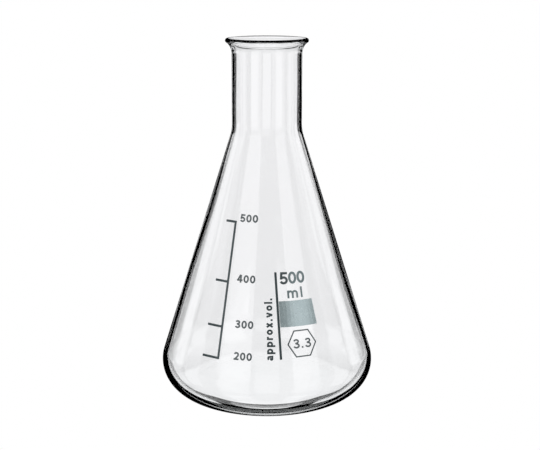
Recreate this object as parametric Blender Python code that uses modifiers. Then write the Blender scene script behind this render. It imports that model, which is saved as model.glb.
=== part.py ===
"""Narrow-neck Erlenmeyer flask, 500 ml: one blown borosilicate body and its fired-on enamel print.

The flask stands on the XY plane with its axis on +Z. The print faces -Y, and azimuths are measured
from there, positive towards +X. Run with: blender --background --python part.py
"""

import functools
import math

import bmesh
import bpy
from mathutils import Matrix, Vector, geometry

MM = 0.001

# Glass body
HEIGHT = 175 * MM
BASE_RADIUS = 52.5 * MM
NECK_RADIUS = 16.85 * MM
NECK_WALL = 1.35 * MM
LOWER_WALL = 2.0 * MM  # where the cone meets the heel
FLOOR_THICKNESS = 3.2 * MM
HEEL_RADIUS = 16.2 * MM  # outer corner between the cone and the foot
INNER_HEEL_RADIUS = 14 * MM
SHOULDER_HEIGHT = 131.4 * MM  # where the lines of the cone and the neck would cross
SHOULDER_RADIUS = 20 * MM
RIM_RADIUS = 19.9 * MM
BEAD_RADIUS = 1.1 * MM  # fire-polished bead round the rim
FLARE_RADIUS = 6.0 * MM
INNER_FLARE_RADIUS = 6.4 * MM
FOOT_WIDTH = 4.5 * MM  # flat ring that the flask stands on
PUNT_DEPTH = 0.8 * MM  # hollow under the base
TURNS = 64  # sides of the turned body

# Enamel print
ENAMEL = 0.1 * MM
ENAMEL_GAP = 0.05 * MM  # clearance that keeps the print off the facets of the glass
LINE = 1.1 * MM
SCALE_AZIMUTHS = -27.7, -29.6  # at the scale's lower and upper ends
TICK_SPAN = 10.4  # degrees that each tick reaches to the left of the scale's line
MARKS = {500: 91.5 * MM, 400: 64.6 * MM, 300: 44.5 * MM, 200: 30.5 * MM}
NUMERAL_RIGHT_AZIMUTH = -8.3
NUMERAL_HEIGHT, NUMERAL_PITCH, NUMERAL_STEM = 3.7 * MM, 3.08 * MM, 0.21
NUMERAL_RISE = 0.25 * MM  # baseline above its tick
BAR_AZIMUTHS = 7.7, 6.1  # lower and upper ends
BAR_BOTTOM, BAR_TOP = 31.4 * MM, 69.9 * MM
PATCH_GAP = 0.15 * MM
PATCH_AZIMUTHS = 31.9, 30.9  # right-hand edge, lower and upper ends
PATCH_BOTTOM, PATCH_TOP = 45.5 * MM, 57.0 * MM
CAPACITY_AZIMUTH, CAPACITY_BASELINE = 18.3, 64.4 * MM
CAPACITY_HEIGHT, CAPACITY_PITCH, CAPACITY_STEM = 5.7 * MM, 4.15 * MM, 0.195
UNIT_AZIMUTH, UNIT_BASELINE = 19.2, 58.1 * MM
UNIT_HEIGHT, UNIT_GAP, UNIT_STEM = 5.0 * MM, 1.3 * MM, 0.185
NOTE_AZIMUTH, NOTE_BOTTOM = 3.5, 31.1 * MM
NOTE_HEIGHT, NOTE_GAP, NOTE_STEM = 3.85 * MM, 0.7 * MM, 0.225
GLASS_MARK_AZIMUTH, GLASS_MARK_HEIGHT = 20.6, 37.9 * MM
GLASS_MARK_RADIUS, GLASS_MARK_LINE = 6.9 * MM, 0.6 * MM
GLASS_MARK_DIGIT, GLASS_MARK_STEM = 4.4 * MM, 0.17

ROUND_STEPS = 18  # segments in a full turn of a round stroke
LONGEST_CHORD = 2.0 * MM  # longest straight step of a print stroke round the cone


def cone_angle():
    """Half angle of the cone whose line is tangent to the heel and aims at the shoulder corner."""
    across = BASE_RADIUS - HEEL_RADIUS - NECK_RADIUS
    down = SHOULDER_HEIGHT - HEEL_RADIUS
    return math.atan2(across, down) + math.asin(HEEL_RADIUS / math.hypot(across, down))


CONE_ANGLE = cone_angle()
APEX_HEIGHT = SHOULDER_HEIGHT + NECK_RADIUS / math.tan(CONE_ANGLE)


def cone_radius(height):
    return (APEX_HEIGHT - height) * math.tan(CONE_ANGLE)


def arc(centre, radius, start, end, steps):
    """Points (x, z) on an arc from start to end, in radians, both ends included."""
    angles = [start + (end - start) * i / steps for i in range(steps + 1)]
    return [(centre[0] + radius * math.cos(a), centre[1] + radius * math.sin(a)) for a in angles]


# ---- glass body ----------------------------------------------------------------------------------


def inside_profile():
    """Inner wall from the middle of the floor up to the rim's bead, and the bead arc's start."""
    normal = Vector((math.cos(CONE_ANGLE), math.sin(CONE_ANGLE)))
    outer_heel = Vector((BASE_RADIUS - HEEL_RADIUS, HEEL_RADIUS))
    inner_line = normal.dot(outer_heel) + HEEL_RADIUS - LOWER_WALL
    heel_z = FLOOR_THICKNESS + INNER_HEEL_RADIUS
    heel_x = (inner_line - INNER_HEEL_RADIUS - normal.y * heel_z) / normal.x

    shoulder = shoulder_centre()
    shoulder_radius = SHOULDER_RADIUS + NECK_WALL
    apart = Vector((shoulder[0] - heel_x, shoulder[1] - heel_z))
    inner_angle = math.atan2(apart.y, apart.x) - math.acos(
        (shoulder_radius + INNER_HEEL_RADIUS) / apart.length
    )
    bead = bead_centre()
    flare_x = NECK_RADIUS - NECK_WALL + INNER_FLARE_RADIUS
    drop = math.sqrt((INNER_FLARE_RADIUS - BEAD_RADIUS) ** 2 - (flare_x - bead[0]) ** 2)
    flare_z = bead[1] - drop
    bead_start = math.atan2(drop, bead[0] - flare_x)

    floor_rise = PUNT_DEPTH * 0.8
    points = [(0, FLOOR_THICKNESS + floor_rise), (heel_x * 0.5, FLOOR_THICKNESS + floor_rise * 0.75)]
    points += arc((heel_x, heel_z), INNER_HEEL_RADIUS, -math.pi / 2, inner_angle, 8)
    points += arc(shoulder, shoulder_radius, math.pi + inner_angle, math.pi, 4)
    points += arc((flare_x, flare_z), INNER_FLARE_RADIUS, math.pi, bead_start, 4)
    return points, bead_start


def shoulder_centre():
    rise = SHOULDER_RADIUS * math.tan(CONE_ANGLE / 2)
    return NECK_RADIUS + SHOULDER_RADIUS, SHOULDER_HEIGHT + rise


def bead_centre():
    return RIM_RADIUS - BEAD_RADIUS, HEIGHT - BEAD_RADIUS


def outside_profile(bead_start):
    """From the bead, over the crest and down the outer wall to the middle of the base."""
    bead = bead_centre()
    flare_x = NECK_RADIUS + FLARE_RADIUS
    drop = math.sqrt((FLARE_RADIUS + BEAD_RADIUS) ** 2 - (flare_x - bead[0]) ** 2)
    bead_end = math.atan2(-drop, flare_x - bead[0])
    flare = (flare_x, bead[1] - drop)

    points = arc(bead, BEAD_RADIUS, bead_start, bead_end, 10)[1:]
    points += arc(flare, FLARE_RADIUS, bead_end + math.pi, math.pi, 5)[1:]
    points += arc(shoulder_centre(), SHOULDER_RADIUS, math.pi, math.pi + CONE_ANGLE, 4)
    foot_radius = BASE_RADIUS - HEEL_RADIUS
    heel = (foot_radius, HEEL_RADIUS)
    points += arc(heel, HEEL_RADIUS, CONE_ANGLE, 0, 2)[:-1]
    points += arc(heel, HEEL_RADIUS, 0, -math.pi / 2, 9)
    punt_radius = foot_radius - FOOT_WIDTH
    points += [(punt_radius, 0), (punt_radius * 0.5, PUNT_DEPTH * 0.75), (0, PUNT_DEPTH)]
    return points


def make_flask_body(blown):
    """The whole vessel: floor, cone, shoulder, neck and beaded rim are one turned wall of glass."""
    inside, bead_start = inside_profile()
    profile = inside + outside_profile(bead_start)
    mesh = bpy.data.meshes.new("flask_body")
    vertices = [(x, 0, z) for x, z in profile]
    mesh.from_pydata(vertices, [(i, i + 1) for i in range(len(vertices) - 1)], [])
    body = blown("flask_body", mesh)
    screw = body.modifiers.new("turned", "SCREW")
    screw.axis = "Z"
    screw.angle = math.tau
    screw.steps = TURNS
    screw.render_steps = TURNS
    screw.use_merge_vertices = True
    screw.merge_threshold = 0.00001
    screw.use_smooth_shade = True
    return body


# ---- glyphs: strokes in a box of height 1, x to the right and y up ---------------------------------


def line(*points):
    return list(points)


def bow(centre, radii, start, end):
    """An elliptical stroke from start to end, in degrees."""
    steps = max(3, round(abs(end - start) / 360 * ROUND_STEPS))
    angles = [math.radians(start + (end - start) * i / steps) for i in range(steps + 1)]
    return [(centre[0] + radii[0] * math.cos(a), centre[1] + radii[1] * math.sin(a)) for a in angles]


def ring(centre, radii):
    points = bow(centre, radii, 0, 360)
    points[-1] = points[0]
    return points


def digit_strokes(digit, stem):
    half = stem / 2
    if digit == "0":
        return 0.7, [ring((0.35, 0.5), (0.35 - half, 0.5 - half))]
    if digit == "5":
        return 0.7, [
            line((0.1, 1 - half), (0.66, 1 - half)),
            line((0.1 + half, 1), (0.04 + half, 0.4)),
            bow((0.345, 0.325), (0.355 - half, 0.335 - half), 150, -160),
        ]
    if digit == "4":
        return 0.74, [
            line((0.5, 1), (0.5, 0)),
            line((0, 0.21 + half), (0.74, 0.21 + half)),
            line((0.45, 1.0), (0.09, 0.25)),
        ]
    if digit == "3":
        return 0.7, [
            bow((0.34, 0.74), (0.32 - half, 0.26 - half), 165, -90),
            bow((0.34, 0.29), (0.36 - half, 0.29 - half), 90, -165),
            line((0.22, 0.53), (0.36, 0.53)),
        ]
    if digit == "2":
        return 0.7, [
            bow((0.35, 0.69), (0.34 - half, 0.31 - half), 170, -38),
            line((0.6, 0.58), (0.14, 0.06)),
            line((0.02, half), (0.68, half)),
        ]
    raise ValueError(f"no strokes for digit {digit}")


def letter_strokes(letter, stem):
    """Lower-case letters whose ascenders reach 1. Their x-height is 0.73."""
    half = stem / 2
    x_height = 0.73
    middle = x_height / 2
    bowl = (0.33 - half, middle - half)
    if letter == "l":
        return stem, [line((half, 0), (half, 1))]
    if letter == "m":
        arch = (0.215, 0.24)
        legs = half, half + 2 * arch[0], half + 4 * arch[0]
        spring = x_height - half - arch[1]
        left_arch = bow((legs[0] + arch[0], spring), arch, 165, 0)
        right_arch = bow((legs[1] + arch[0], spring), arch, 180, 0)
        return legs[2] + half, [
            line((legs[0], 0), (legs[0], x_height)),
            left_arch + [(legs[1], 0)],
            right_arch + [(legs[2], 0)],
        ]
    if letter == "a":
        return 0.6, [
            bow((0.29, x_height - 0.22), (0.24 - half + 0.04, 0.22 - half), 160, 0) + [(0.49, 0)],
            bow((0.25, 0.215), (0.25 - half, 0.215 - half), 60, 350),
        ]
    if letter == "p":
        return 0.66, [line((half, x_height), (half, -0.27)), ring((0.33, middle), bowl)]
    if letter == "r":
        return 0.42, [
            line((half, 0), (half, x_height)),
            bow((0.36, 0.4), (0.36 - half, x_height - 0.4 - half), 180, 80),
        ]
    if letter == "o":
        return 0.66, [ring((0.33, middle), bowl)]
    if letter == "x":
        return 0.64, [line((0.1, 0), (0.54, x_height)), line((0.54, 0), (0.1, x_height))]
    if letter == "v":
        return 0.64, [line((0.1, x_height), (0.32, 0.03)), line((0.54, x_height), (0.32, 0.03))]
    if letter == ".":
        return stem, [line((half, 0), (half, stem * 1.1))]
    raise ValueError(f"no strokes for letter {letter}")


def glyph_strokes(character, stem):
    return (digit_strokes if character.isdigit() else letter_strokes)(character, stem)


# ---- flat print shapes -----------------------------------------------------------------------------


def ribbon(path, width):
    """Quads of a stroke of even width along a path of 2D points."""
    closed = path[0] == path[-1]
    points = [Vector(p) for p in (path[:-1] if closed else path)]
    count = len(points)
    sides = []
    for i, point in enumerate(points):
        before = points[i - 1] if closed or i > 0 else None
        after = points[(i + 1) % count] if closed or i < count - 1 else None
        ways = [(b - a).normalized() for a, b in ((before, point), (point, after)) if a and b]
        along = sum(ways, Vector((0, 0))).normalized()
        stretch = 1 / max(along.dot(ways[0]), 0.5)
        across = Vector((-along.y, along.x)) * (width / 2 * stretch)
        sides.append((point + across, point - across))
    pairs = [(i, (i + 1) % count) for i in range(count if closed else count - 1)]
    return [(sides[i][0], sides[i][1], sides[j][1], sides[j][0]) for i, j in pairs]


def merged_faces(quads):
    """The quads' union as 2D points and triangles."""
    points = [corner for quad in quads for corner in quad]
    faces = [list(range(4 * i, 4 * i + 4)) for i in range(len(quads))]
    inside_constraints = 1
    points, _, triangles, _, _, sources = geometry.delaunay_2d_cdt(
        points, [], faces, inside_constraints, 1e-7
    )
    return points, [triangle for triangle, source in zip(triangles, sources) if source]


def on_sheet(anchor_height, turn, height):
    """Where a flat print has the point that lands at this height and this azimuth, in degrees.

    The print touches the cone first at anchor_height on the front of the flask, and is rolled out
    from there to both sides. Its u runs right and its v up the slope, in metres.
    """
    slant = cone_radius(anchor_height) / math.sin(CONE_ANGLE)
    reach = cone_radius(height) / math.sin(CONE_ANGLE)
    angle = math.radians(turn) * math.sin(CONE_ANGLE)
    return Vector((reach * math.sin(angle), slant - reach * math.cos(angle)))


def on_cone(anchor_height, u, v, lift):
    """The point that the rolled-out print brings (u, v) to, lifted off the cone's outer face."""
    slant = cone_radius(anchor_height) / math.sin(CONE_ANGLE)
    reach = math.hypot(u, slant - v)
    azimuth = math.atan2(u, slant - v) / math.sin(CONE_ANGLE)
    radius = reach * math.sin(CONE_ANGLE) + lift * math.cos(CONE_ANGLE)
    height = APEX_HEIGHT - reach * math.cos(CONE_ANGLE) + lift * math.sin(CONE_ANGLE)
    return radius * math.sin(azimuth), -radius * math.cos(azimuth), height


def print_mesh(name, quads, anchor_height):
    """A layer of enamel in the shape of the quads, wrapped on to the front of the cone."""
    points, faces = merged_faces(quads)
    sheet = bmesh.new()
    corners = [sheet.verts.new((p.x, p.y, ENAMEL_GAP)) for p in points]
    for face in faces:
        sheet.faces.new([corners[i] for i in face])
    top = bmesh.ops.extrude_face_region(sheet, geom=sheet.faces[:])
    for item in top["geom"]:
        if isinstance(item, bmesh.types.BMVert):
            item.co.z += ENAMEL
    bmesh.ops.recalc_face_normals(sheet, faces=sheet.faces[:])
    for vertex in sheet.verts:
        vertex.co = on_cone(anchor_height, *vertex.co)
    mesh = bpy.data.meshes.new(name)
    sheet.to_mesh(mesh)
    sheet.free()
    return mesh


def straight(start, end):
    """A straight path in steps short enough to follow the curve of the glass."""
    steps = max(1, math.ceil(math.dist(start, end) / LONGEST_CHORD))
    return [tuple(Vector(start).lerp(Vector(end), i / steps)) for i in range(steps + 1)]


def glyph_quads(character, height, stem, turn=0.0, shift=(0.0, 0.0)):
    """A glyph's quads in metres, turned about its lower left corner and then shifted."""
    width, strokes = glyph_strokes(character, stem)
    place = Matrix.Rotation(turn, 2)
    quads = []
    for path in strokes:
        scaled = [tuple(place @ (Vector(p) * height) + Vector(shift)) for p in path]
        quads += ribbon(scaled, stem * height)
    return quads


# ---- enamel pieces ---------------------------------------------------------------------------------
# Each of these takes ink(name, mesh), which adds one printed object and returns it. A piece is drawn
# at the front of the flask and turned about the axis to its place.


def turn_to(piece, azimuth):
    piece.rotation_euler.z = math.radians(azimuth)


def make_number(ink, prefix, text, azimuth, baseline, height, pitch, stem):
    """Digits centred on an azimuth, each turned to its own place. Equal digits share a mesh."""
    anchor = baseline + height / 2 * math.cos(CONE_ANGLE)
    step = math.degrees(pitch / cone_radius(anchor))
    meshes = {}
    for i, digit in enumerate(text):
        if digit not in meshes:
            width = glyph_strokes(digit, stem)[0] * height
            quads = glyph_quads(digit, height, stem, shift=(-width / 2, -height / 2))
            meshes[digit] = print_mesh(f"{prefix}_{digit}", quads, anchor)
        piece = ink(f"{prefix}_{i + 1}_digit_{digit}", meshes[digit])
        turn_to(piece, azimuth + (i - (len(text) - 1) / 2) * step)


def make_scale(ink):
    """The graduated scale: an upright line with one tick for each volume."""
    bottom, top = min(MARKS.values()), max(MARKS.values())
    anchor = (bottom + top) / 2
    middle = sum(SCALE_AZIMUTHS) / 2
    low_turn, high_turn = (azimuth - middle for azimuth in SCALE_AZIMUTHS)
    start, end = on_sheet(anchor, low_turn, bottom), on_sheet(anchor, high_turn, top)
    overrun = (end - start).normalized() * LINE / 2
    quads = ribbon(straight(start - overrun, end + overrun), LINE)
    for height in MARKS.values():
        share = (height - bottom) / (top - bottom)
        turn = low_turn + (high_turn - low_turn) * share
        ends = on_sheet(anchor, turn, height), on_sheet(anchor, turn - TICK_SPAN, height)
        quads += ribbon(straight(*ends), LINE)
    turn_to(ink("graduation_scale", print_mesh("graduation_scale", quads, anchor)), middle)


def make_numerals(ink):
    """The volumes beside the ticks, with their right-hand edges above each other."""
    for volume, height in MARKS.items():
        text = str(volume)
        baseline = height + NUMERAL_RISE
        last_width = glyph_strokes(text[-1], NUMERAL_STEM)[0] * NUMERAL_HEIGHT
        reach = NUMERAL_PITCH * (len(text) - 1) / 2 + last_width / 2
        azimuth = NUMERAL_RIGHT_AZIMUTH - math.degrees(reach / cone_radius(baseline))
        shape = NUMERAL_HEIGHT, NUMERAL_PITCH, NUMERAL_STEM
        make_number(ink, f"graduation_{volume}", text, azimuth, baseline, *shape)


def bar_line():
    """The bar's anchor height, middle azimuth, and lower and upper ends on the flat print."""
    anchor = (BAR_BOTTOM + BAR_TOP) / 2
    middle = sum(BAR_AZIMUTHS) / 2
    start = on_sheet(anchor, BAR_AZIMUTHS[0] - middle, BAR_BOTTOM)
    end = on_sheet(anchor, BAR_AZIMUTHS[1] - middle, BAR_TOP)
    return anchor, middle, start, end


def make_label_bar(ink):
    anchor, middle, start, end = bar_line()
    mesh = print_mesh("label_bar", ribbon(straight(start, end), LINE), anchor)
    turn_to(ink("label_bar", mesh), middle)


def make_writing_patch(ink):
    """The matt field for pencil notes. Its left edge runs beside the bar and its right edge is free."""
    anchor, middle, start, end = bar_line()
    along = (end - start).normalized()
    clear = Vector((along.y, -along.x)) * (LINE / 2 + PATCH_GAP)
    apex = Vector((0, cone_radius(anchor) / math.sin(CONE_ANGLE)))
    edges = []
    for height, azimuth in zip((PATCH_BOTTOM, PATCH_TOP), PATCH_AZIMUTHS):
        share = (height - BAR_BOTTOM) / (BAR_TOP - BAR_BOTTOM)
        left = start.lerp(end, share) + clear
        right = on_sheet(anchor, azimuth - middle, height)
        edges.append([polar(point, apex) for point in (left, right)])
    (low_left, low_right), (high_left, high_right) = edges
    columns = math.ceil((low_right.x - low_left.x) * low_left.y / LONGEST_CHORD)
    rows = 3

    def corner(column, row):
        low = low_left.lerp(low_right, column / columns)
        high = high_left.lerp(high_right, column / columns)
        angle, reach = low.lerp(high, row / rows)
        return Vector((reach * math.sin(angle), apex.y - reach * math.cos(angle)))

    quads = []
    for column in range(columns):
        for row in range(rows):
            ring_of_four = (column, row), (column + 1, row), (column + 1, row + 1), (column, row + 1)
            quads.append(tuple(corner(*place) for place in ring_of_four))
    turn_to(ink("writing_patch", print_mesh("writing_patch", quads, anchor)), middle)


def polar(point, apex):
    """A point of the flat print as its angle and distance from where the cone's tip lies on it."""
    return Vector((math.atan2(point.x, apex.y - point.y), (point - apex).length))


def make_unit(ink):
    """The letters ml under the capacity."""
    anchor = UNIT_BASELINE + UNIT_HEIGHT / 2 * math.cos(CONE_ANGLE)
    widths = [glyph_strokes(letter, UNIT_STEM)[0] * UNIT_HEIGHT for letter in "ml"]
    left = -(sum(widths) + UNIT_GAP) / 2
    for letter, width in zip("ml", widths):
        shift = (-width / 2, -UNIT_HEIGHT / 2)
        name = f"unit_letter_{letter}"
        quads = glyph_quads(letter, UNIT_HEIGHT, UNIT_STEM, shift=shift)
        offset = math.degrees((left + width / 2) / cone_radius(anchor))
        turn_to(ink(name, print_mesh(name, quads, anchor)), UNIT_AZIMUTH + offset)
        left += width + UNIT_GAP


def make_note(ink):
    """The words approx.vol., reading upwards along one line of the cone."""
    level = 0.0
    for i, letter in enumerate("approx.vol."):
        width = glyph_strokes(letter, NOTE_STEM)[0] * NOTE_HEIGHT
        anchor = NOTE_BOTTOM + (level + width / 2) * math.cos(CONE_ANGLE)
        quarter_turn = math.radians(90)
        quads = glyph_quads(letter, NOTE_HEIGHT, NOTE_STEM, quarter_turn, (0, -width / 2))
        name = f"note_letter_{i + 1:02d}_{'point' if letter == '.' else letter}"
        turn_to(ink(name, print_mesh(name, quads, anchor)), NOTE_AZIMUTH)
        level += width + NOTE_GAP


def make_glass_mark(ink):
    """The mark of borosilicate glass 3.3: the number in a plain hexagon."""
    anchor = GLASS_MARK_HEIGHT
    turns = [Matrix.Rotation(math.radians(60 * i), 2) for i in range(6)]
    corners = [turn @ Vector((GLASS_MARK_RADIUS, 0)) for turn in turns]
    path = [p for i in range(6) for p in straight(corners[i], corners[(i + 1) % 6])[:-1]]
    mesh = print_mesh("glass_mark_hexagon", ribbon(path + path[:1], GLASS_MARK_LINE), anchor)
    pieces = [ink("glass_mark_hexagon", mesh)]
    gap = 0.22 * GLASS_MARK_DIGIT
    widths = [glyph_strokes(c, GLASS_MARK_STEM)[0] * GLASS_MARK_DIGIT for c in "3.3"]
    left = -(sum(widths) + 2 * gap) / 2
    for name, character, width in zip(("1_digit_3", "2_point", "3_digit_3"), "3.3", widths):
        shift = (left, -GLASS_MARK_DIGIT / 2)
        quads = glyph_quads(character, GLASS_MARK_DIGIT, GLASS_MARK_STEM, shift=shift)
        pieces.append(ink(f"glass_mark_{name}", print_mesh(f"glass_mark_{name}", quads, anchor)))
        left += width + gap
    for piece in pieces:
        turn_to(piece, GLASS_MARK_AZIMUTH)


# ---- scene -----------------------------------------------------------------------------------------


def add_object(collection, parent, material, name, mesh):
    if not mesh.materials:
        mesh.materials.append(material)
    piece = bpy.data.objects.new(name, mesh)
    collection.objects.link(piece)
    piece.parent = parent
    return piece


def plain_material(name, colour, roughness, transmission=0.0, ior=1.5):
    material = bpy.data.materials.new(name)
    material.use_nodes = True
    shader = material.node_tree.nodes["Principled BSDF"]
    shader.inputs["Base Color"].default_value = (*colour, 1)
    shader.inputs["Metallic"].default_value = 0.0
    shader.inputs["Roughness"].default_value = roughness
    shader.inputs["Transmission Weight"].default_value = transmission
    shader.inputs["IOR"].default_value = ior
    return material


def main():
    for item in list(bpy.data.objects):
        bpy.data.objects.remove(item)
    collection = bpy.data.collections.new("erlenmeyer_flask")
    bpy.context.scene.collection.children.link(collection)
    flask = bpy.data.objects.new("erlenmeyer_flask", None)
    collection.objects.link(flask)

    glass = plain_material("borosilicate_glass", (0.97, 0.985, 0.98), 0.02, 1.0, 1.473)
    enamel = plain_material("slate_enamel", (0.07, 0.1, 0.11), 0.35)
    patch_enamel = plain_material("matt_patch_enamel", (0.21, 0.26, 0.28), 0.55)

    ink = functools.partial(add_object, collection, flask, enamel)
    make_flask_body(functools.partial(add_object, collection, flask, glass))
    make_scale(ink)
    make_numerals(ink)
    make_number(
        ink, "capacity", "500", CAPACITY_AZIMUTH, CAPACITY_BASELINE,
        CAPACITY_HEIGHT, CAPACITY_PITCH, CAPACITY_STEM,
    )
    make_unit(ink)
    make_label_bar(ink)
    make_writing_patch(functools.partial(add_object, collection, flask, patch_enamel))
    make_note(ink)
    make_glass_mark(ink)


main()
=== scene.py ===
"""Looks of the narrow-neck Erlenmeyer flask: blown glass, fired enamel print and the studio."""

import math

import bpy
import numpy as np
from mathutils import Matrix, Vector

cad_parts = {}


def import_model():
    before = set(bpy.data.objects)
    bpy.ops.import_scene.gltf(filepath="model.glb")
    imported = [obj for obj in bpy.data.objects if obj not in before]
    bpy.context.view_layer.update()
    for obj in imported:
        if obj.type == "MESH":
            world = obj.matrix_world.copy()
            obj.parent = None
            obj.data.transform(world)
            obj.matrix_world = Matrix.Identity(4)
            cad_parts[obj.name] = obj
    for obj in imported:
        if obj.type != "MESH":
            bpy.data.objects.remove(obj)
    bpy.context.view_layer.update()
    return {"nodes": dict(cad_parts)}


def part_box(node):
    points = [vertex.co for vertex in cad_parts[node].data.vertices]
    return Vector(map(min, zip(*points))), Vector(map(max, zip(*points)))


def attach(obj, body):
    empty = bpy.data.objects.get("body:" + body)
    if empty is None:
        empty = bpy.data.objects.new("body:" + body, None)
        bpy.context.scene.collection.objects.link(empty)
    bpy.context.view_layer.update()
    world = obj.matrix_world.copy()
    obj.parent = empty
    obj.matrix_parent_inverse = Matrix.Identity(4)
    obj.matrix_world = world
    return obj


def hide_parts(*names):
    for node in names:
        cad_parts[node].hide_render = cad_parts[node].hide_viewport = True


MM = 0.001

# The glass's section, in metres. Its width and height come from the frame.
NECK_RADIUS = 16.85 * MM
NECK_WALL = 1.35 * MM
LOWER_WALL = 2.0 * MM
FLOOR_THICKNESS = 3.2 * MM
HEEL_RADIUS = 16.2 * MM
INNER_HEEL_RADIUS = 14 * MM
SHOULDER_HEIGHT = 131.4 * MM
SHOULDER_RADIUS = 20 * MM
RIM_RADIUS = 19.9 * MM
BEAD_RADIUS = 1.1 * MM
FLARE_RADIUS = 6.0 * MM
INNER_FLARE_RADIUS = 6.4 * MM
FOOT_WIDTH = 4.5 * MM
PUNT_DEPTH = 0.8 * MM
INNER_PUNT_SHARE = 0.8  # how much of the punt shows as a rise in the inner floor
TURNS = 240

# Waviness of the inner wall: how deep, waves round the axis and their phase, then length of a wave
# up the axis and its phase. It dies out towards the rim and towards the middle of the floor.
WAVES = [
    (0.10 * MM, 2, 0.7, 21 * MM, 1.0),
    (0.03 * MM, 5, 2.1, 13 * MM, 0.4),
]
CALM_RIM = 12 * MM
WAVE_FADE = 20 * MM
CALM_RADIUS = 8 * MM


def arc(centre, radius, start, end, steps):
    angles = np.linspace(start, end, steps + 1)
    x, z = centre
    return [(x + radius * math.cos(a), z + radius * math.sin(a)) for a in angles]


def line(start, end, steps):
    """Points between two ends, without the ends."""
    (x, z), (end_x, end_z) = start, end
    shares = np.linspace(0, 1, steps + 1)[1:-1]
    return [(x + (end_x - x) * t, z + (end_z - z) * t) for t in shares]


def sections(base_radius, height):
    """Inner outline of the glass from the axis to the bead, and the outer one back to the axis.

    Points are (x, z). The last number of each arc and line is its count of steps.
    """
    across = base_radius - HEEL_RADIUS - NECK_RADIUS
    down = SHOULDER_HEIGHT - HEEL_RADIUS
    cone = math.atan2(across, down) + math.asin(HEEL_RADIUS / math.hypot(across, down))
    foot_radius = base_radius - HEEL_RADIUS
    rise = SHOULDER_RADIUS * math.tan(cone / 2)
    shoulder = (NECK_RADIUS + SHOULDER_RADIUS, SHOULDER_HEIGHT + rise)
    bead = (RIM_RADIUS - BEAD_RADIUS, height - BEAD_RADIUS)

    outer_line = math.cos(cone) * foot_radius + math.sin(cone) * HEEL_RADIUS + HEEL_RADIUS
    inner_line = outer_line - LOWER_WALL
    inner_heel_z = FLOOR_THICKNESS + INNER_HEEL_RADIUS
    inner_heel_x = (inner_line - INNER_HEEL_RADIUS - math.sin(cone) * inner_heel_z) / math.cos(cone)
    inner_shoulder = SHOULDER_RADIUS + NECK_WALL
    apart = (shoulder[0] - inner_heel_x, shoulder[1] - inner_heel_z)
    inner_cone = math.atan2(apart[1], apart[0]) - math.acos(
        (inner_shoulder + INNER_HEEL_RADIUS) / math.hypot(*apart)
    )
    inner_flare_x = NECK_RADIUS - NECK_WALL + INNER_FLARE_RADIUS
    drop = math.sqrt((INNER_FLARE_RADIUS - BEAD_RADIUS) ** 2 - (inner_flare_x - bead[0]) ** 2)
    bead_start = math.atan2(drop, bead[0] - inner_flare_x)
    hollow = PUNT_DEPTH * INNER_PUNT_SHARE
    inner = [
        (inner_heel_x * s, FLOOR_THICKNESS + hollow * 0.5 * (1 + math.cos(math.pi * s)))
        for s in np.linspace(0, 1, 25)[:-1]
    ]
    inner += arc((inner_heel_x, inner_heel_z), INNER_HEEL_RADIUS, -math.pi / 2, inner_cone, 36)
    upper = arc(shoulder, inner_shoulder, math.pi + inner_cone, math.pi, 14)
    inner += line(inner[-1], upper[0], 40) + upper
    upper = arc((inner_flare_x, bead[1] - drop), INNER_FLARE_RADIUS, math.pi, bead_start, 18)
    inner += line(inner[-1], upper[0], 16) + upper

    flare_x = NECK_RADIUS + FLARE_RADIUS
    drop = math.sqrt((FLARE_RADIUS + BEAD_RADIUS) ** 2 - (flare_x - bead[0]) ** 2)
    bead_end = math.atan2(-drop, flare_x - bead[0])
    outer = arc(bead, BEAD_RADIUS, bead_start, bead_end, 28)[1:]
    outer += arc((flare_x, bead[1] - drop), FLARE_RADIUS, bead_end + math.pi, math.pi, 18)[1:]
    lower = arc(shoulder, SHOULDER_RADIUS, math.pi, math.pi + cone, 14)
    outer += line(outer[-1], lower[0], 16) + lower
    heel = (foot_radius, HEEL_RADIUS)
    lower = arc(heel, HEEL_RADIUS, cone, 0, 8)[:-1] + arc(heel, HEEL_RADIUS, 0, -math.pi / 2, 36)
    outer += line(outer[-1], lower[0], 40) + lower
    punt_radius = foot_radius - FOOT_WIDTH
    outer += [
        (punt_radius * s, PUNT_DEPTH * 0.5 * (1 + math.cos(math.pi * s)))
        for s in np.linspace(1, 0, 25)
    ]
    return inner, outer


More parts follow.
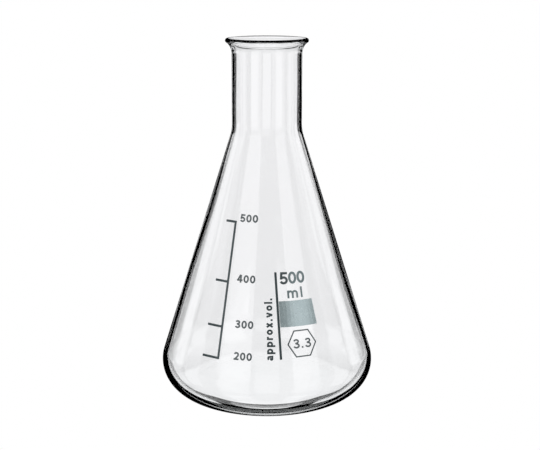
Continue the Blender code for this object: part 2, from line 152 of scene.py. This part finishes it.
def turned_glass(name, base_radius, height):
    """The whole vessel as one closed, finely turned mesh."""
    inner, outer = sections(base_radius, height)
    outline = np.array(inner + outer)
    count = len(outline) - 2
    angles = np.arange(TURNS) * math.tau / TURNS
    x = np.outer(np.cos(angles), outline[1:-1, 0])
    y = np.outer(np.sin(angles), outline[1:-1, 0])
    z = np.tile(outline[1:-1, 1], (TURNS, 1))
    waves = 0
    for depth, around, turn, length, lift in WAVES:
        waves = waves + depth * np.sin(around * angles + turn)[:, None] * np.sin(z / length + lift)
    inside = np.arange(count) < len(inner) - 1
    taper = inside * np.clip((height - CALM_RIM - outline[1:-1, 1]) / WAVE_FADE, 0, 1)
    scale = 1 + waves * taper / np.maximum(np.hypot(x, y), CALM_RADIUS)
    points = np.stack([x * scale, y * scale, z], -1).reshape(-1, 3)
    faces = []
    for i in range(TURNS):
        j = (i + 1) % TURNS
        for k in range(count - 1):
            faces.append((i * count + k, i * count + k + 1, j * count + k + 1, j * count + k))
    floor_middle, foot_middle = len(points), len(points) + 1
    middles = [(0, 0, outline[0, 1]), (0, 0, outline[-1, 1])]
    for i in range(TURNS):
        j = (i + 1) % TURNS
        faces.append((floor_middle, i * count, j * count))
        faces.append((foot_middle, j * count + count - 1, i * count + count - 1))
    mesh = bpy.data.meshes.new(name)
    mesh.from_pydata([*map(tuple, points), *middles], [], faces)
    mesh.shade_smooth()
    mesh.update()
    piece = bpy.data.objects.new(name, mesh)
    bpy.context.scene.collection.objects.link(piece)
    return piece


# ---- materials ----

GLASS_IOR = 1.473  # borosilicate 3.3
GLASS_TINT = 0.62, 0.86, 0.80
GLASS_DENSITY = 9.0  # absorption per metre

# Fired enamels: darkest and lightest colour, middle roughness, metallic share.
ENAMELS = {
    "slate_enamel": ((0.033, 0.052, 0.056), (0.045, 0.068, 0.073), 0.3, 0.0),
    # A lighter copy of the slate print, as painted sheen on the glyphs where the front boxes'
    # reflection falls.
    "sheen_lit_enamel": ((0.09, 0.135, 0.142), (0.11, 0.16, 0.168), 0.3, 0.0),
    "patch_enamel": ((0.44, 0.535, 0.551), (0.5, 0.6, 0.615), 0.26, 0.545),
}
# Glyphs that get the lighter copy of the slate print as painted sheen.
SHEEN_LIT_PRINT = "capacity_2_digit_0", "capacity_3_digit_0", "unit_letter_m", "unit_letter_l"
ENAMEL_IOR = 1.9
CLOUD_SCALE = 260  # per metre, for colour and gloss
CLOUD_DETAIL = 4
CLOUD_RANGE = 0.35, 0.65  # noise values that give the darkest and the lightest colour
GLOSS_RANGE = -0.04, 0.06  # how far roughness strays from its middle
GRAIN_SCALE = 9000  # per metre, for the bump
GRAIN_HEIGHT = 0.02 * MM
GRAIN_STRENGTH = 0.08


def new_material(name):
    material = bpy.data.materials.new(name)
    material.use_nodes = True
    return material, material.node_tree


def glass_material():
    material, tree = new_material("borosilicate_glass")
    shader = tree.nodes["Principled BSDF"]
    shader.inputs["Base Color"].default_value = (1, 1, 1, 1)
    shader.inputs["Transmission Weight"].default_value = 1.0
    shader.inputs["IOR"].default_value = GLASS_IOR
    shader.inputs["Roughness"].default_value = 0.0
    absorption = tree.nodes.new("ShaderNodeVolumeAbsorption")
    absorption.inputs["Color"].default_value = (*GLASS_TINT, 1)
    absorption.inputs["Density"].default_value = GLASS_DENSITY
    tree.links.new(absorption.outputs[0], tree.nodes["Material Output"].inputs["Volume"])
    return material


def enamel_material(name):
    dark, light, roughness, metallic = ENAMELS[name]
    material, tree = new_material(name)
    nodes, links = tree.nodes, tree.links
    shader = nodes["Principled BSDF"]
    shader.inputs["Metallic"].default_value = metallic
    shader.inputs["IOR"].default_value = ENAMEL_IOR
    place = nodes.new("ShaderNodeTexCoord")
    cloud = nodes.new("ShaderNodeTexNoise")
    cloud.inputs["Scale"].default_value = CLOUD_SCALE
    cloud.inputs["Detail"].default_value = CLOUD_DETAIL
    links.new(place.outputs["Object"], cloud.inputs["Vector"])
    ramp = nodes.new("ShaderNodeValToRGB")
    for stop, position, colour in zip(ramp.color_ramp.elements, CLOUD_RANGE, (dark, light)):
        stop.position = position
        stop.color = (*colour, 1)
    links.new(cloud.outputs["Fac"], ramp.inputs["Fac"])
    links.new(ramp.outputs["Color"], shader.inputs["Base Color"])
    gloss = nodes.new("ShaderNodeMapRange")
    gloss.inputs["To Min"].default_value = roughness + GLOSS_RANGE[0]
    gloss.inputs["To Max"].default_value = roughness + GLOSS_RANGE[1]
    links.new(cloud.outputs["Fac"], gloss.inputs["Value"])
    links.new(gloss.outputs["Result"], shader.inputs["Roughness"])
    grain = nodes.new("ShaderNodeTexNoise")
    grain.inputs["Scale"].default_value = GRAIN_SCALE
    links.new(place.outputs["Object"], grain.inputs["Vector"])
    bump = nodes.new("ShaderNodeBump")
    bump.inputs["Strength"].default_value = GRAIN_STRENGTH
    bump.inputs["Distance"].default_value = GRAIN_HEIGHT
    links.new(grain.outputs["Fac"], bump.inputs["Height"])
    links.new(bump.outputs["Normal"], shader.inputs["Normal"])
    return material


# ---- studio ----

# Soft boxes of the studio: azimuth (0 behind the flask, as the main camera sees it, and growing to
# the left), half width, lowest and highest elevation, in degrees, then brightness.

# Bright grounds, one behind the flask for each viewing side, seen only through glass. The dark
# outlines of the glass are the gaps between them, so the one behind the neck is a little narrower,
# and those at 45 and 315 leave out the heights that the main camera's outlines reach.
BACK_BOXES = [
    (0, 16, -35, -10, 0.97),
    (0, 14, -10, 0, 0.97),
    (0, 16, 0, 28, 0.97),
    (0, 10, 28, 60, 0.97),
    (45, 12, -60, -9.5, 1.0),
    (45, 12, -1, 25, 1.0),
    (90, 11, -35, 20, 1.0),
    (135, 11, -28, -3, 1.0),
    (180, 14, -36, 14, 1.0),
    (225, 12, -28, -3, 1.0),
    (270, 11, -35, 20, 1.0),
    (315, 12, -60, -9.5, 1.0),
    (315, 12, -1, 25, 1.0),
    # straight below, in two halves
    (0, 90, -90, -70, 1.0),
    (180, 90, -90, -70, 1.0),
]
# Boxes that make the light streaks on the glass and the sheen on the print.
FRONT_BOXES = [
    (66, 9, -38, 22, 0.85),
    (85, 22, 10, 40, 0.4),
    (144, 17, -38, 10, 0.68),
    (142, 20, 10, 50, 1.1),
    (142, 20, -78, -50, 1.0),
    (224.5, 15.5, -38, 10, 0.68),
    (224.5, 15.5, 10, 50, 1.0),
    (224.5, 15.5, -78, -50, 1.0),
    (275, 22, 10, 40, 0.4),
    (294, 9, -38, 22, 0.85),
]
BOX_EDGE = 1.2  # degrees over which a box's edge fades
BOX_TINT = 0.99, 0.985, 1.0  # cool white of the boxes
ROOM_LIGHT = 1.0  # even light on the matt print

FLOOR_HALF_SIZE = 6.0
FLOOR_GAP = 0.2 * MM  # keeps the floor clear of the foot

CAMERA_PLACE = 0, -0.53337, 0.20845
CAMERA_TILT = 0.22968  # radians below level
CAMERA_SENSOR = 36  # sensor and lens in millimetres
CAMERA_LENS = 74.163
CAMERA_SHIFT = 0.00565, 0.00093


def make_world():
    """White for the camera, even light for the matt print, and the soft boxes for the glass."""
    world = bpy.data.worlds.new("studio")
    bpy.context.scene.world = world
    world.use_nodes = True
    tree = world.node_tree
    nodes, links = tree.nodes, tree.links
    nodes.clear()

    def math_node(operation, *values):
        node = nodes.new("ShaderNodeMath")
        node.operation = operation
        for socket, value in zip(node.inputs, values):
            if isinstance(value, (int, float)):
                socket.default_value = value
            else:
                links.new(value, socket)
        return node.outputs[0]

    def fade(value, low, high):
        node = nodes.new("ShaderNodeMapRange")
        node.interpolation_type = "SMOOTHSTEP"
        node.inputs["From Min"].default_value = low
        node.inputs["From Max"].default_value = high
        links.new(value, node.inputs["Value"])
        return node.outputs["Result"]

    place = nodes.new("ShaderNodeTexCoord")
    split = nodes.new("ShaderNodeSeparateXYZ")
    links.new(place.outputs["Generated"], split.inputs[0])
    x, y, z = split.outputs
    squares = math_node("MULTIPLY", x, x), math_node("MULTIPLY", y, y)
    flat = math_node("SQRT", math_node("ADD", *squares))
    x, y = math_node("DIVIDE", x, flat), math_node("DIVIDE", y, flat)
    elevation = math_node("ARCSINE", z)
    edge = BOX_EDGE / 2

    def boxes(rows):
        total = 0.0
        for azimuth, half, low, high, brightness in rows:
            turn = math.radians(azimuth)
            along = math_node(
                "ADD",
                math_node("MULTIPLY", x, -math.sin(turn)),
                math_node("MULTIPLY", y, math.cos(turn)),
            )
            outside, inside = math.radians(half + edge), math.radians(half - edge)
            across = fade(along, math.cos(outside), math.cos(inside))
            above = fade(elevation, math.radians(low - edge), math.radians(low + edge))
            below = fade(elevation, math.radians(high + edge), math.radians(high - edge))
            box = math_node("MULTIPLY", across, math_node("MULTIPLY", above, below))
            total = math_node("ADD", math_node("MULTIPLY", box, brightness), total)
        return total

    rays = nodes.new("ShaderNodeLightPath").outputs
    behind = math_node("MULTIPLY", boxes(BACK_BOXES), rays["Is Transmission Ray"])
    light = math_node("MAXIMUM", behind, boxes(FRONT_BOXES))
    tint = nodes.new("ShaderNodeVectorMath")
    tint.operation = "SCALE"
    tint.inputs[0].default_value = BOX_TINT
    links.new(light, tint.inputs["Scale"])
    room = math_node("MULTIPLY", rays["Is Diffuse Ray"], ROOM_LIGHT)
    plain = math_node("MAXIMUM", rays["Is Camera Ray"], room)
    total = nodes.new("ShaderNodeVectorMath")
    total.operation = "MAXIMUM"
    links.new(tint.outputs[0], total.inputs[0])
    links.new(plain, total.inputs[1])
    background = nodes.new("ShaderNodeBackground")
    background.inputs["Strength"].default_value = 1.0
    links.new(total.outputs[0], background.inputs["Color"])
    output = nodes.new("ShaderNodeOutputWorld")
    links.new(background.outputs[0], output.inputs["Surface"])


def make_floor():
    """A white floor that only the camera sees, so it doesn't fill the dark gaps round the glass."""
    mesh = bpy.data.meshes.new("floor")
    signs = (-1, -1), (1, -1), (1, 1), (-1, 1)
    corners = [(x * FLOOR_HALF_SIZE, y * FLOOR_HALF_SIZE, 0) for x, y in signs]
    mesh.from_pydata(corners, [], [(0, 1, 2, 3)])
    floor = bpy.data.objects.new("floor", mesh)
    bpy.context.scene.collection.objects.link(floor)
    floor.location.z = -FLOOR_GAP
    material, tree = new_material("pale_floor")
    tree.nodes.clear()
    glow = tree.nodes.new("ShaderNodeEmission")
    glow.inputs["Color"].default_value = (1, 1, 1, 1)
    output = tree.nodes.new("ShaderNodeOutputMaterial")
    tree.links.new(glow.outputs[0], output.inputs["Surface"])
    mesh.materials.append(material)
    floor.visible_transmission = False
    floor.visible_glossy = False
    floor.visible_diffuse = False
    floor.visible_shadow = False


def make_camera():
    data = bpy.data.cameras.new("camera")
    data.sensor_width = CAMERA_SENSOR
    data.lens = CAMERA_LENS
    data.shift_x, data.shift_y = CAMERA_SHIFT
    camera = bpy.data.objects.new("camera", data)
    bpy.context.scene.collection.objects.link(camera)
    camera.location = CAMERA_PLACE
    camera.rotation_euler = (math.pi / 2 - CAMERA_TILT, 0, 0)
    bpy.context.scene.camera = camera


def main():
    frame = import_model()
    low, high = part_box("flask_body")
    body = turned_glass("glass_vessel", (high.x - low.x) / 2, high.z)
    body.data.materials.append(glass_material())
    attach(body, "root")
    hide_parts("flask_body")
    # The glyphs under the sheen get the lighter copy of the slate print as painted sheen; the other
    # glyphs get the plain slate print.
    slate, sheen_lit_ink, patch = [enamel_material(name) for name in ENAMELS]
    enamels = {"writing_patch": patch, **dict.fromkeys(SHEEN_LIT_PRINT, sheen_lit_ink)}
    for name, node in frame["nodes"].items():
        if name != "flask_body":
            node.data.materials.clear()
            node.data.materials.append(enamels.get(name, slate))
    make_world()
    make_floor()
    make_camera()
    bpy.context.scene.view_settings.view_transform = "Standard"


main()
